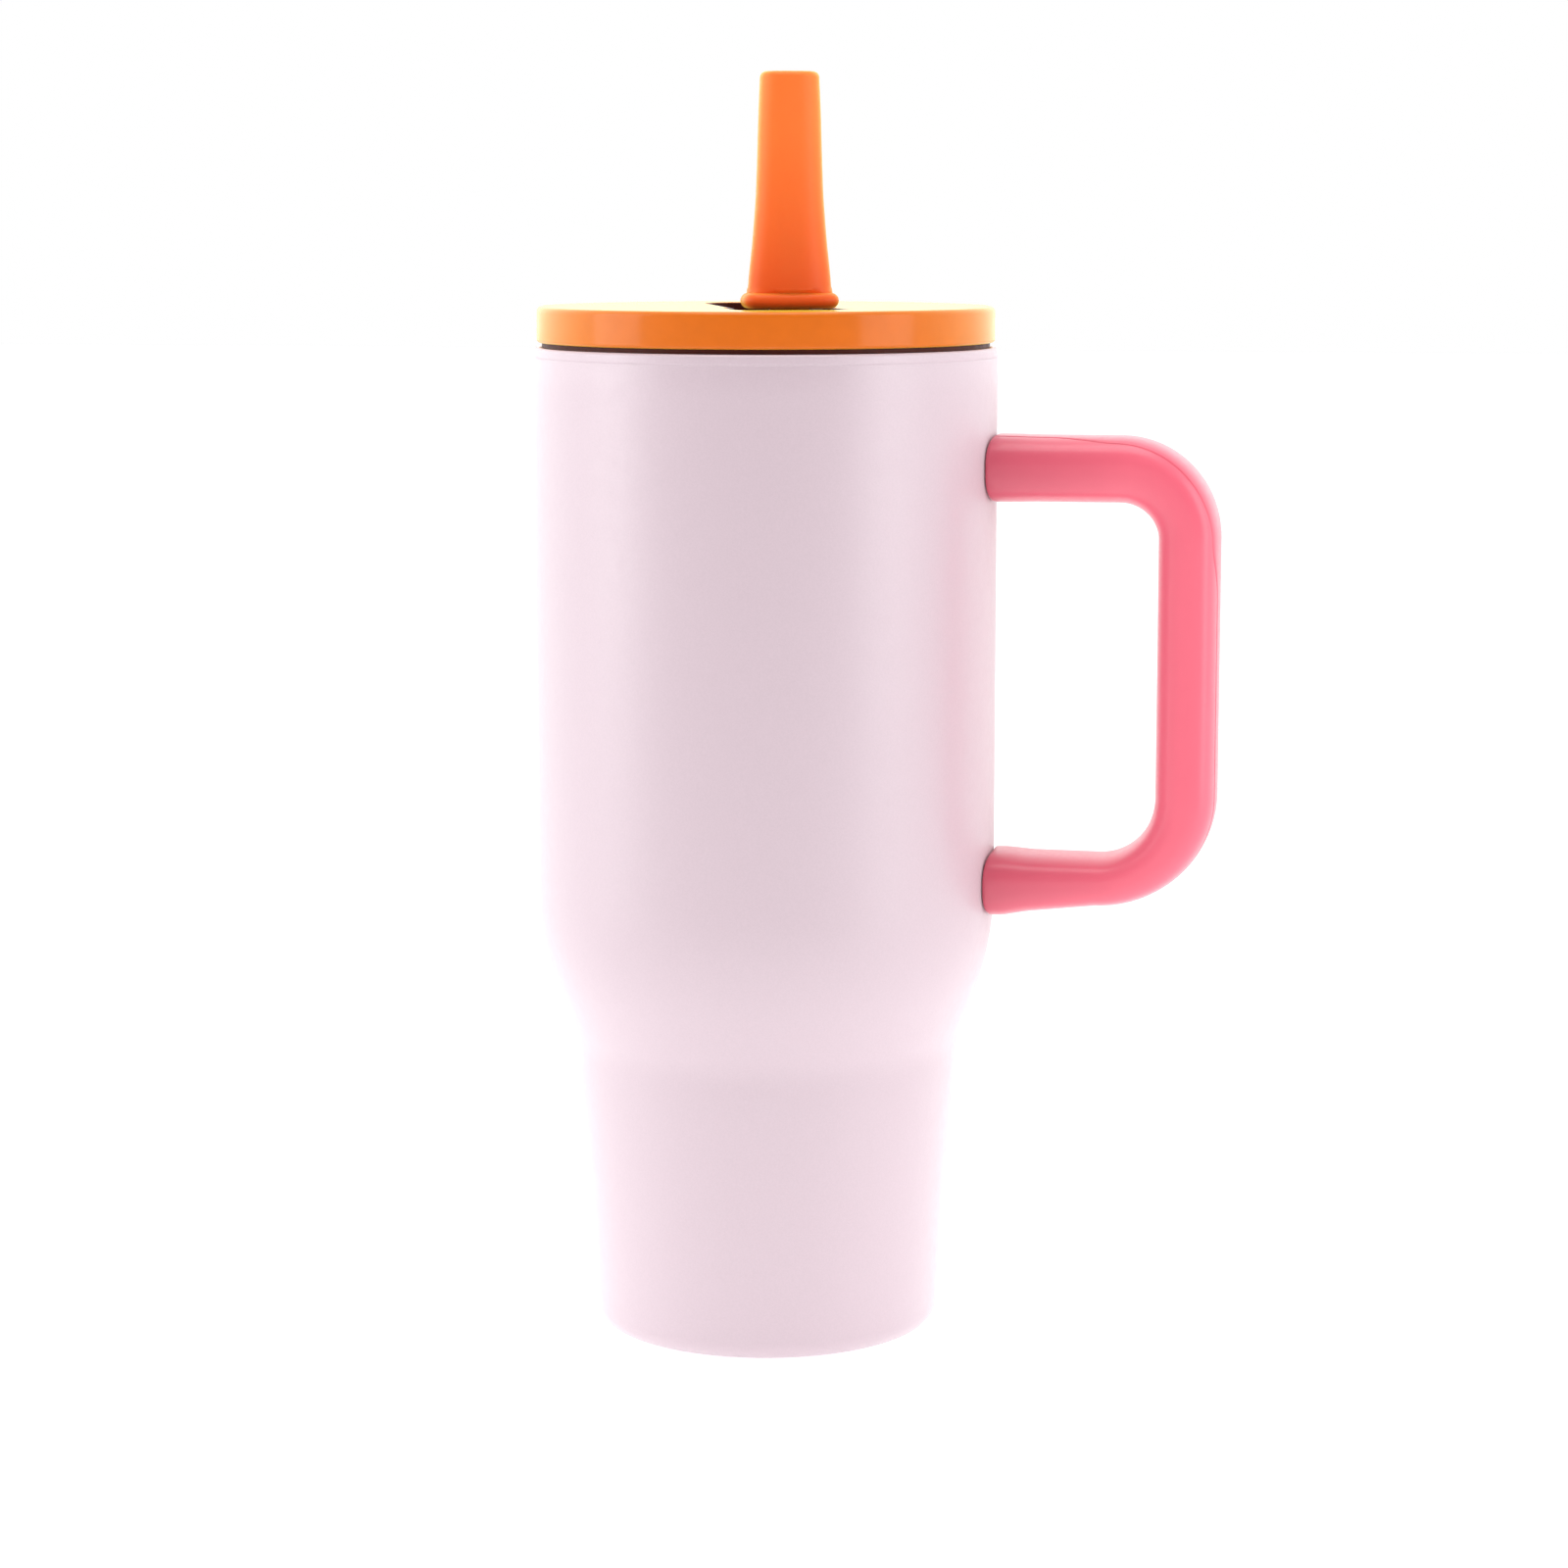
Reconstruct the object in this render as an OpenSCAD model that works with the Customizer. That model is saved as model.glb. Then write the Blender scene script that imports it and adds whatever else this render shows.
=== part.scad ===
// Insulated tumbler, about 1.2 litres, with a push-in lid, a drinking
// spout that folds down into a slot in the lid, a straw and a side handle.
// Frame: millimetres, +Z up, origin on the cup's axis in the base plane,
// handle towards +X.

/* [Cup] */
// Outer radius of the upper cup wall
cup_r = 50; // [49.5:0.1:50.5]
// Height of the cup's rim above the base
cup_h = 215.4; // [213:0.1:216]
// Radius where the lower taper would meet the base plane
foot_r = 37.43; // [37:0.01:38]
// Height of the knee between the lower taper and the shoulder
knee_z = 63.8; // [62:0.1:65]
// Radius of the cup at the knee
knee_r = 41.9; // [41.5:0.1:42.2]
// Height where the shoulder cone would meet the upper wall
shoulder_z = 86.25; // [85:0.05:88]
// Rounding of the shoulder
shoulder_round = 64; // [50:1:70]
// Rounding of the foot
foot_round = 4.5; // [4:0.1:5]
// Sheet thickness of the outer wall
shell_t = 0.6; // [0.5:0.05:0.8]
// Sheet thickness of the inner wall
liner_t = 0.5; // [0.4:0.05:0.6]
// Width of the vacuum space
vacuum_gap = 2.6; // [2.2:0.1:2.8]
// Height of the inner floor
floor_z = 7.4; // [7:0.1:9]

/* [Handle] */
// Distance from the cup's axis to the middle of the upright grip
grip_x = 92; // [90:0.5:94]
// Half thickness of the upright grip, measured outwards
grip_t = 6.5; // [6:0.1:7]
// Half width of the handle across
grip_w = 10.8; // [10:0.1:12]
// Height of the middle of the upper arm
arm_top_z = 189.9; // [188:0.1:191]
// Half height of the upper arm
arm_top_t = 7.05; // [6.8:0.05:7.3]
// Height of the middle of the lower arm at its corner
arm_low_z = 101.1; // [100:0.1:103]
// Half height of the lower arm at its corner
arm_low_t = 5.3; // [5.2:0.1:5.6]
// Middle radius of the upper corner
corner_top_r = 14.8; // [14:0.1:16]
// Middle radius of the lower corner
corner_low_r = 18.9; // [18:0.1:20]
// Thickness of the soft grip over the core
grip_skin = 2.2; // [2:0.1:2.4]

/* [Lid] */
// Radius of the lid's rim band
lid_r = 49.4; // [49:0.1:49.8]
// Height of the lid's flat top
lid_top = 224.1; // [223.8:0.1:224.4]
// Dark reveal between cup rim and lid band
reveal = 1.0; // [0.8:0.1:1.1]
// Radius of the plug under the lid
plug_r = 45.6; // [45.4:0.1:45.8]
// Angle of the lid in the cup, as stored
lid_angle = 20.6; // [0:0.1:45]

/* [Spout] */
// Distance from the lid's centre to the spout
spout_y = 27.5; // [27:0.1:28]
// Height of the spout's pivot
pivot_z = 218; // [217.9:0.1:218.1]
// Height of the spout's tip when upright
tip_z = 273; // [270:0.5:274]
// Half width of the spout at its tip
tip_w = 6.15; // [6:0.05:6.3]
// Half depth of the spout at its tip
tip_d = 5.0; // [4.8:0.1:5.3]
// Radius of the drinking channel
channel_r = 3.3; // [3.1:0.1:3.4]
// Radius of the pivot barrel
barrel_r = 5.6; // [5.4:0.1:5.6]
// Radius of the two pivot pins
pin_r = 1.25; // [1.2:0.05:1.3]
// Running clearance of the pins in the barrel
pin_gap = 0.05; // [0.03:0.01:0.08]

/* [Straw] */
// Outer radius of the straw
straw_r = 4.5; // [4.2:0.1:4.6]
// Wall thickness of the straw
straw_t = 0.8; // [0.7:0.1:1.0]
// Height of the straw's lower end
straw_z = 12; // [11:0.5:16]

/* [Hidden] */
$fn = 96;

band_z = cup_h + reveal;                       // underside of the lid's band
core_off = shell_t + vacuum_gap;               // to the liner's outer face
wall_off = core_off + liner_t;                 // to the liner's inner face
mouth_r = cup_r - wall_off;                    // radius of the cup's mouth
slope_low = (knee_r - foot_r) / knee_z;        // taper of the lower wall
slot_floor = 209.5;                            // floor of the spout's slot
lip_t = 1.0;                                   // thickness of the dark lip around the slot
lug_x = 61;                                    // where the handle screws sit
lug_top_t = 3.0;                               // half height of the upper lug
lug_low_t = 1.9;                               // half height of the lower lug

// ---------- outlines with rounded corners ----------
// A corner is [x, y, radius]. The outline may be open or closed.
function unit(v) = v / norm(v);
function xy(v) = [v[0], v[1]];
function cross2(a, b) = a[0] * b[1] - a[1] * b[0];
// corner points moved to the left of the path by t
function shift_corner(a, b, c, t) =
    let (d1 = unit(xy(b) - xy(a)), d2 = unit(xy(c) - xy(b)),
         n1 = [-d1[1], d1[0]], n2 = [-d2[1], d2[0]],
         p = xy(b) + t * (n1 + n2) / (1 + n1 * n2),
         s = cross2(d1, d2) > 0 ? -1 : 1)
    [p[0], p[1], b[2] == 0 ? 0 : max(0.05, b[2] + s * t)];
// the rounded corner at b as a run of points
function round_corner(a, b, c, k) =
    b[2] == 0 ? [xy(b)] :
    let (d1 = unit(xy(b) - xy(a)), d2 = unit(xy(c) - xy(b)),
         turn = atan2(cross2(d1, d2), d1 * d2),
         t = b[2] * tan(abs(turn) / 2),
         s = turn > 0 ? 1 : -1,
         p0 = xy(b) - d1 * t,
         m = p0 + s * b[2] * [-d1[1], d1[0]],
         a0 = atan2(p0[1] - m[1], p0[0] - m[0]))
    [for (i = [0:k]) m + b[2] * [cos(a0 + turn * i / k), sin(a0 + turn * i / k)]];
// a closed outline, each corner rounded, grown outwards by o
function ring_outline(v, o, k = 6) =
    let (n = len(v),
         w = [for (i = [0:n - 1]) shift_corner(v[(i + n - 1) % n], v[i], v[(i + 1) % n], -o)])
    [for (i = [0:n - 1]) each round_corner(w[(i + n - 1) % n], w[i], w[(i + 1) % n], k)];
// an open run of corners moved left by t; both ends move square to the path
function run_shift(v, t) =
    let (n = len(v),
         da = unit(xy(v[1]) - xy(v[0])), db = unit(xy(v[n - 1]) - xy(v[n - 2])))
    concat([[v[0][0] - da[1] * t, v[0][1] + da[0] * t, 0]],
           [for (i = [1:n - 2]) shift_corner(v[i - 1], v[i], v[i + 1], t)],
           [[v[n - 1][0] - db[1] * t, v[n - 1][1] + db[0] * t, 0]]);
function run_round(v, k = 8) =
    let (n = len(v))
    concat([xy(v[0])], [for (i = [1:n - 2]) each round_corner(v[i - 1], v[i], v[i + 1], k)],
           [xy(v[n - 1])]);
function flip(v) = [for (i = [len(v) - 1:-1:0]) v[i]];

// ---------- the cup's wall, from the foot up to the rim ----------
wall = [[30, 0, 0], [foot_r, 0, foot_round], [knee_r, knee_z, 20],
        [cup_r, shoulder_z, shoulder_round], [cup_r, cup_h - 0.8, 0]];
// the same wall without the foot, for the liner and the foil
wall_up = [[foot_r, 0, 0], [knee_r, knee_z, 20],
           [cup_r, shoulder_z, shoulder_round], [cup_r, cup_h, 0]];
function wall_r(z, off) = foot_r + slope_low * z - off * sqrt(1 + slope_low * slope_low);

module outer_shell() color([0.90, 0.83, 0.87])
    rotate_extrude() polygon(concat(
        run_round(wall),
        // rolled upper edge, turned in to meet the liner
        [[cup_r - 0.06, cup_h - 0.49], [cup_r - 0.23, cup_h - 0.23],
         [cup_r - 0.49, cup_h - 0.06], [cup_r - shell_t, cup_h - 0.02]],
        flip(run_round(run_shift([for (c = wall) c], shell_t))),
        // hem around the base plate
        [[30, 2.6], [29.4, 2.6], [29.4, 0]]));

module inner_liner() color([0.78, 0.79, 0.80]) {
    low_in = wall_r(floor_z, wall_off);
    low_out = wall_r(floor_z - liner_t, core_off);
    inner = concat([[0, floor_z, 0], [low_in, floor_z, 5]],
                   [for (i = [1:2]) run_shift(wall_up, wall_off)[i]],
                   [[mouth_r, cup_h - 0.5, 0]]);
    outer = concat([[0, floor_z - liner_t, 0], [low_out, floor_z - liner_t, 5.5]],
                   [for (i = [1:2]) run_shift(wall_up, core_off)[i]],
                   [[cup_r - core_off, cup_h - 1.2, 0]]);
    rotate_extrude() polygon(concat(
        run_round(outer),
        // flange that closes the vacuum space at the rim
        [[cup_r - shell_t - 0.02, cup_h - 1.2], [cup_r - shell_t - 0.02, cup_h],
         [mouth_r + 0.5, cup_h], [mouth_r + 0.15, cup_h - 0.15]],
        flip(run_round(inner))));
}

module reflective_foil() color([0.80, 0.55, 0.40]) {
    a = run_shift([[foot_r + slope_low * 18, 18, 0], wall_up[1], wall_up[2], [cup_r, 205, 0]], core_off - 0.06);
    b = run_shift([[foot_r + slope_low * 18, 18, 0], wall_up[1], wall_up[2], [cup_r, 205, 0]], core_off - 0.18);
    rotate_extrude() polygon(concat(run_round(b), flip(run_round(a))));
}

module base_plate() color([0.74, 0.75, 0.77])
    rotate_extrude() polygon([
        [0.9, 3.6], [0.9, 3.0], [4.6, 3.0], [6.4, 1.8], [29.36, 1.8],
        [29.36, 2.4], [6.6, 2.4], [4.9, 3.6]]);

module vacuum_seal() color([0.35, 0.36, 0.38])
    rotate_extrude() polygon([[0, 2.2], [2.2, 2.4], [2.9, 2.98], [0.88, 2.98], [0.88, 3.8], [0, 3.9]]);

module getter() color([0.55, 0.56, 0.58])
    translate([15, 0, 2.42]) {
        cylinder(r = 4.2, h = 0.4);
        translate([0, 0, 0.4]) cylinder(r = 3, h = 2);
    }

// ---------- handle ----------
// Stations along the handle: [x, z, outward x, outward z, half thickness, half width].
arm_root_x = 52.5;
function ease(t) = t * t * (3 - 2 * t);
function mix(a, b, t) = a + (b - a) * t;
hs_top = [for (i = [0:5]) let (t = i / 5)
    [mix(arm_root_x, grip_x - corner_top_r, t), arm_top_z, 0, 1,
     arm_top_t + 0.15 * (1 - ease(min(1, 3 * t))), grip_w]];
hs_c1 = [for (i = [1:7]) let (a = 90 - 90 * i / 8, t = i / 8)
    [grip_x - corner_top_r + corner_top_r * cos(a), arm_top_z - corner_top_r + corner_top_r * sin(a),
     cos(a), sin(a), mix(arm_top_t, grip_t, ease(t)), grip_w]];
hs_up = [for (i = [0:4]) let (t = i / 4)
    [grip_x, mix(arm_top_z - corner_top_r, arm_low_z + corner_low_r, t), 1, 0, grip_t, grip_w - 0.3 * sin(180 * t)]];
hs_c2 = [for (i = [1:7]) let (a = -90 * i / 8, t = i / 8)
    [grip_x - corner_low_r + corner_low_r * cos(a), arm_low_z + corner_low_r + corner_low_r * sin(a),
     cos(a), sin(a), mix(grip_t, arm_low_t, ease(t)), grip_w]];
hs_low = [for (i = [0:5]) let (t = i / 5)
    [mix(grip_x - corner_low_r, arm_root_x, t), mix(arm_low_z, arm_low_z - 1, t), 0, -1,
     mix(arm_low_t, 6.6, t) + 0.4 * ease(max(0, 3 * t - 2)), grip_w]];
stations = concat(hs_top, hs_c1, hs_up, hs_c2, hs_low);

sec_n = 20;
function pw(v, p) = v < 0 ? -pow(-v, p) : pow(v, p);
// one ring of the section at station s, shrunk by d all round
function sec_ring(s, d) = [for (j = [0:sec_n - 1]) let (q = 360 * (j + 0.5) / sec_n,
    u = pw(cos(q), 0.76) * (s[4] - d), v = pw(sin(q), 0.76) * (s[5] - d))
    [s[0] + s[2] * u, v, s[1] + s[3] * u]];
// the same ring carried along X onto a cylinder of radius r about the cup's axis
function saddle_ring(s, d, r) = [for (p = sec_ring(s, d)) [sqrt(r * r - p[1] * p[1]), p[1], p[2]]];
function handle_rings(d, r) = concat([saddle_ring(stations[0], d, r)],
    [for (s = stations) sec_ring(s, d)],
    [saddle_ring(stations[len(stations) - 1], d, r)]);
function side_faces(m, base, inside) = [for (i = [0:m - 2]) for (j = [0:sec_n - 1])
    let (k = (j + 1) % sec_n, a = base + i * sec_n + j, b = base + i * sec_n + k,
         c = base + (i + 1) * sec_n + k, e = base + (i + 1) * sec_n + j)
    each (inside ? [[a, b, c], [a, c, e]] : [[a, c, b], [a, e, c]])];

module handle_tube(d_out, d_in, r) {
    ro = handle_rings(d_out, r);
    ri = handle_rings(d_in, r);
    m = len(ro);
    n = m * sec_n;
    last = (m - 1) * sec_n;
    polyhedron(
        points = concat([for (q = ro) each q], [for (q = ri) each q]),
        faces = concat(side_faces(m, 0, false), side_faces(m, n, true),
            [for (j = [0:sec_n - 1]) let (k = (j + 1) % sec_n) each [[j, k, n + k], [j, n + k, n + j]]],
            [for (j = [0:sec_n - 1]) let (k = (j + 1) % sec_n)
                each [[last + j, n + last + k, last + k], [last + j, n + last + j, n + last + k]]]));
}
module handle_bar(d, r) {
    ro = handle_rings(d, r);
    m = len(ro);
    last = (m - 1) * sec_n;
    // each end is a fan about its own middle point
    c0 = [sqrt(r * r - 0), 0, stations[0][1]];
    c1 = [sqrt(r * r - 0), 0, stations[len(stations) - 1][1]];
    polyhedron(
        points = concat([for (q = ro) each q], [c0, c1]),
        faces = concat(side_faces(m, 0, false),
            [for (j = [0:sec_n - 1]) [j, (j + 1) % sec_n, m * sec_n]],
            [for (j = [0:sec_n - 1]) [last + (j + 1) % sec_n, last + j, m * sec_n + 1]]));
}
low_z = arm_low_z - 0.6;                  // middle of the lower arm at the screw
top_face = arm_top_z - arm_top_t + grip_skin + 0.05;   // underside of the core, upper arm
low_face = low_z - 6.0 + grip_skin + 0.05;             // underside of the core, lower arm

module bracket(z, t) {
    difference() {
        union() {
            // saddle plate welded to the cup
            intersection() {
                difference() {
                    translate([0, 0, z - t - 0.6]) cylinder(r = cup_r + 1.2, h = 2 * t + 1.2);
                    translate([0, 0, z - t - 2]) cylinder(r = cup_r + 0.01, h = 2 * t + 4);
                }
                translate([40, -6.5, z - t - 3]) cube([20, 13, 2 * t + 6]);
            }
            // lug that the handle slides over
            difference() {
                translate([cup_r - 2, -5, z - t]) cube([18, 10, 2 * t]);
                translate([0, 0, z - t - 1]) cylinder(r = cup_r + 0.6, h = 2 * t + 2);
            }
        }
        translate([lug_x, 0, z - t - 1]) cylinder(r = 1.5, h = 2 * t + 2, $fn = 48);
    }
}
module upper_bracket() color([0.74, 0.75, 0.77]) bracket(arm_top_z, lug_top_t);
module lower_bracket() color([0.74, 0.75, 0.77]) bracket(low_z, lug_low_t);

module handle_core() color([0.80, 0.33, 0.42])
    difference() {
        handle_bar(grip_skin + 0.05, cup_r + 1.5);
        for (a = [[arm_top_z, lug_top_t], [low_z, lug_low_t]])
            translate([cup_r - 1, -5.1, a[0] - a[1] - 0.1]) cube([17.2, 10.2, 2 * a[1] + 0.2]);
        translate([lug_x, 0, arm_top_z - 12]) cylinder(r = 1.6, h = 12, $fn = 48);
        translate([lug_x, 0, low_z - 12]) cylinder(r = 1.6, h = 12, $fn = 48);
        // flats under the screw heads
        translate([lug_x, 0, top_face - 3]) cylinder(r = 3.1, h = 3.3, $fn = 48);
        translate([lug_x, 0, low_face - 3]) cylinder(r = 3.1, h = 3.3, $fn = 48);
    }

module handle_grip() color([0.96, 0.46, 0.55])
    difference() {
        handle_tube(0, grip_skin, cup_r + 0.12);
        translate([lug_x, 0, top_face - 4]) cylinder(r = 2.9, h = 5, $fn = 48);
        translate([lug_x, 0, low_face - 4]) cylinder(r = 2.9, h = 5, $fn = 48);
    }

module screw(z) {
    // pan head under the core, shank up into the lug
    translate([lug_x, 0, z + 0.3 - 1.3]) cylinder(r = 2.6, h = 1.3, $fn = 48);
    translate([lug_x, 0, z + 0.3]) cylinder(r = 1.45, h = 5.2, $fn = 48);
}
module handle_screws() color([0.70, 0.71, 0.73]) {
    screw(top_face);
    screw(low_face);
}
module screw_plugs() color([0.94, 0.44, 0.53]) {
    translate([lug_x, 0, arm_top_z - arm_top_t + 0.12]) cylinder(r = 2.84, h = top_face + 0.3 - 1.3 - 0.02 - (arm_top_z - arm_top_t + 0.12), $fn = 48);
    translate([lug_x, 0, low_z - 6.0 + 0.2]) cylinder(r = 2.84, h = low_face + 0.3 - 1.3 - 0.02 - (low_z - 6.0 + 0.2), $fn = 48);
}

// ---------- lid: drawn with the spout towards -Y, then turned ----------
// Outline of the slot that the folded spout lies in; f rounds its corners in front.
function slot(f) = [[-11, -spout_y - 6.5, f], [11, -spout_y - 6.5, f], [11, -16.4, 1.4], [9.6, -15, 1.4],
        [7.3, 34.6, 6.8], [-7.3, 34.6, 6.8], [-9.6, -15, 1.4], [-11, -16.4, 1.4]];
module slot_prism(f, o, z0, z1) translate([0, 0, z0]) linear_extrude(z1 - z0) polygon(ring_outline(slot(f), o));
module turned() rotate([0, 0, lid_angle]) children();

module lid_cap() color([0.98, 0.50, 0.16]) turned()
    difference() {
        rotate_extrude() polygon([
            [0, lid_top], [lid_r - 1.3, lid_top], [lid_r - 0.75, lid_top - 0.12],
            [lid_r - 0.35, lid_top - 0.4], [lid_r - 0.1, lid_top - 0.8], [lid_r, lid_top - 1.3],
            [lid_r, band_z + 0.7], [lid_r - 0.2, band_z + 0.2], [lid_r - 0.7, band_z],
            [lid_r - 2, band_z], [lid_r - 2, lid_top - 1.8], [0, lid_top - 1.8]]);
        // hole for the dark lip of the slot
        slot_prism(1.6, lip_t + 0.1, lid_top - 3, lid_top + 1);
    }

module lid_core() color([0.13, 0.07, 0.07]) turned()
    difference() {
        union() {
            // flange that lies on the cup's rim, and the disc inside it
            translate([0, 0, cup_h - 1.5]) cylinder(r = plug_r, h = 1.55);
            translate([0, 0, cup_h + 0.05]) cylinder(r = lid_r - 1.1, h = reveal - 0.1);
            // ring that the cap snaps over
            difference() {
                translate([0, 0, band_z - 0.2]) cylinder(r = lid_r - 2.2, h = 5.4);
                translate([0, 0, band_z - 1]) cylinder(r = lid_r - 4, h = 8);
            }
            // wall of the plug
            difference() {
                translate([0, 0, 203.5]) cylinder(r = plug_r, h = cup_h - 1.5 - 203.5 + 0.1);
                translate([0, 0, 203]) cylinder(r = plug_r - 2.8, h = cup_h - 203);
            }
            // walls and floor of the spout's slot
            slot_prism(1, 1.8, slot_floor - 1.8, lid_top - 1.85);
            // lip of the slot, which rises through the cap
            slot_prism(1.6, lip_t, lid_top - 1.95, lid_top - 0.15);
            // socket for the straw
            translate([0, -spout_y, 197.5]) cylinder(r = 7.7, h = slot_floor - 1 - 197.5);
            // stiffening ribs
            for (a = [0, 60, 120, 180, 240, 300]) rotate([0, 0, a])
                translate([18, -0.8, 206]) cube([plug_r - 19, 1.6, cup_h - 1.4 - 206]);
        }
        slot_prism(1, 0, slot_floor, lid_top + 2);
        translate([0, -spout_y, 190]) cylinder(r = 6.2, h = slot_floor - 1.8 - 190);
        translate([0, -spout_y, 200]) cylinder(r = channel_r, h = 20);
        // holes for the pivot pins
        translate([-20, 0, 0]) translate([0, -spout_y, pivot_z]) rotate([0, 90, 0]) cylinder(r = pin_r, h = 40, $fn = 48);
        // hole of the vent valve and its two air holes
        translate([0, 12, slot_floor - 4]) cylinder(r = 1.25, h = 6, $fn = 48);
        for (s = [-1, 1]) translate([s * 2.5, 12, slot_floor - 4]) cylinder(r = 0.6, h = 6, $fn = 32);
        // groove of the gasket
        difference() {
            translate([0, 0, 207]) cylinder(r = 60, h = 4.2);
            translate([0, 0, 206]) cylinder(r = plug_r - 1.4, h = 6);
        }
    }

module lid_gasket() color([0.20, 0.10, 0.10])
    rotate_extrude() polygon([
        [plug_r - 1.25, 207.15], [plug_r + 0.1, 207.15], [mouth_r - 0.15, 207.7], [mouth_r - 0.15, 208.1],
        [plug_r + 0.1, 208.5], [plug_r + 0.1, 209.3], [mouth_r - 0.15, 209.9], [mouth_r - 0.15, 210.3],
        [plug_r + 0.1, 211.05], [plug_r - 1.25, 211.05]]);

module hinge_pins() color([0.74, 0.75, 0.77]) turned()
    for (s = [-1, 1]) translate([s > 0 ? 5.5 : -12.7, -spout_y, pivot_z]) rotate([0, 90, 0])
        cylinder(r = pin_r, h = 7.2, $fn = 48);

module spout_seal() color([0.85, 0.86, 0.87]) turned()
    translate([0, -spout_y, 0]) difference() {
        union() {
            translate([-7, -5.4, slot_floor + 0.02]) cube([14, 5.8, 4.8]);
            // lower behind, where the folded spout passes over it
            translate([-7, 0, slot_floor + 0.02]) cube([14, 5.4, 3.75]);
        }
        translate([-10, 0, pivot_z]) rotate([0, 90, 0]) cylinder(r = barrel_r + 0.25, h = 20);
        translate([0, 0, 200]) cylinder(r = channel_r, h = 20);
    }

module vent_valve() color([0.85, 0.86, 0.87]) turned()
    translate([0, 12, slot_floor]) rotate_extrude($fn = 64) polygon([
        [0, 0.8], [1.4, 0.8], [2.0, 0.3], [1.9, 0.02], [1.2, 0.02], [1.2, -1.82],
        [3.6, -1.84], [3.8, -2.2], [2.2, -2.7], [0, -2.9]]);

module straw_adapter() color([0.85, 0.86, 0.87]) turned()
    translate([0, -spout_y, 0]) rotate_extrude() polygon([
        [straw_r + 0.03, 196.6], [7.4, 196.6], [7.4, 197.45], [6.15, 197.45], [6.15, 207.6],
        [channel_r, 207.6], [channel_r, 207.05], [straw_r + 0.03, 207.05]]);

module straw() color([0.93, 0.94, 0.95, 0.8]) turned()
    translate([0, -spout_y, 0]) difference() {
        translate([0, 0, straw_z]) cylinder(r = straw_r, h = 207 - straw_z);
        translate([0, 0, straw_z - 1]) cylinder(r = straw_r - straw_t, h = 210 - straw_z);
        // notch at the foot, so that the straw can't seal on the floor
        translate([-10, -1.6, straw_z - 1]) cube([20, 3.2, 4]);
    }

// ---------- spout: turns with the pivot ----------
module spout_barrel() color([0.95, 0.42, 0.16]) turned()
    translate([0, -spout_y, pivot_z]) difference() {
        union() {
            translate([-10.6, 0, 0]) rotate([0, 90, 0]) cylinder(r = barrel_r, h = 21.2);
            cylinder(r = channel_r + 1.0, h = 20);
        }
        translate([0, 0, -10]) cylinder(r = channel_r, h = 40);
        for (s = [-1, 1]) translate([s > 0 ? 5.2 : -15.2, 0, 0]) rotate([0, 90, 0])
            cylinder(r = pin_r + pin_gap, h = 10, $fn = 48);
    }

// section of the spout at height h above its foot: [h, half width, half depth]
spout_len = tip_z - pivot_z - 6.2;
sp = [[0, 8.9, 5.9], [3.6, 8.85, 5.9], [8, 8.45, 5.8], [13, 7.85, 5.7], [18, 7.45, 5.6], [23, 7.05, 5.5],
      [28, 6.85, 5.4], [36, 6.6, 5.2], [44, tip_w + 0.2, tip_d + 0.05], [spout_len - 1.4, tip_w, tip_d],
      [spout_len - 0.5, tip_w - 0.35, tip_d - 0.35], [spout_len, tip_w - 1.2, tip_d - 1.2]];
sp_n = 32;
collar = [[-10.4, -5.9, 2.6], [10.4, -5.9, 2.6], [10.4, 5.9, 2.6], [-10.4, 5.9, 2.6]];
module mouthpiece() color([0.98, 0.44, 0.20]) turned()
    translate([0, -spout_y, pivot_z + 6.2]) difference() {
        union() {
            polyhedron(
                points = concat([for (s = sp) each [for (j = [0:sp_n - 1]) let (q = 360 * j / sp_n)
                    [pw(cos(q), 0.86) * s[1], pw(sin(q), 0.86) * s[2], s[0]]]],
                    [[0, 0, 0], [0, 0, spout_len]]),
                faces = let (m = len(sp), last = (m - 1) * sp_n) concat(
                    [for (i = [0:m - 2]) for (j = [0:sp_n - 1]) let (k = (j + 1) % sp_n,
                        a = i * sp_n + j, b = i * sp_n + k, c = (i + 1) * sp_n + k, e = (i + 1) * sp_n + j)
                        each [[a, c, b], [a, e, c]]],
                    [for (j = [0:sp_n - 1]) [j, (j + 1) % sp_n, m * sp_n]],
                    [for (j = [0:sp_n - 1]) [last + (j + 1) % sp_n, last + j, m * sp_n + 1]]));
            linear_extrude(3.4) polygon(ring_outline(collar, 0));
        }
        translate([0, 0, -1]) cylinder(r = channel_r + 1.03, h = 15);
        translate([0, 0, -1]) cylinder(r = channel_r, h = 80);
    }

outer_shell();
inner_liner();
reflective_foil();
base_plate();
getter();
vacuum_seal();
upper_bracket();
lower_bracket();
handle_core();
handle_grip();
handle_screws();
screw_plugs();
lid_gasket();
lid_cap();
lid_core();
hinge_pins();
spout_seal();
vent_valve();
straw_adapter();
straw();
spout_barrel();
mouthpiece();
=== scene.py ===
import math

import bmesh
import bpy
from mathutils import Matrix, Vector


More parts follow.
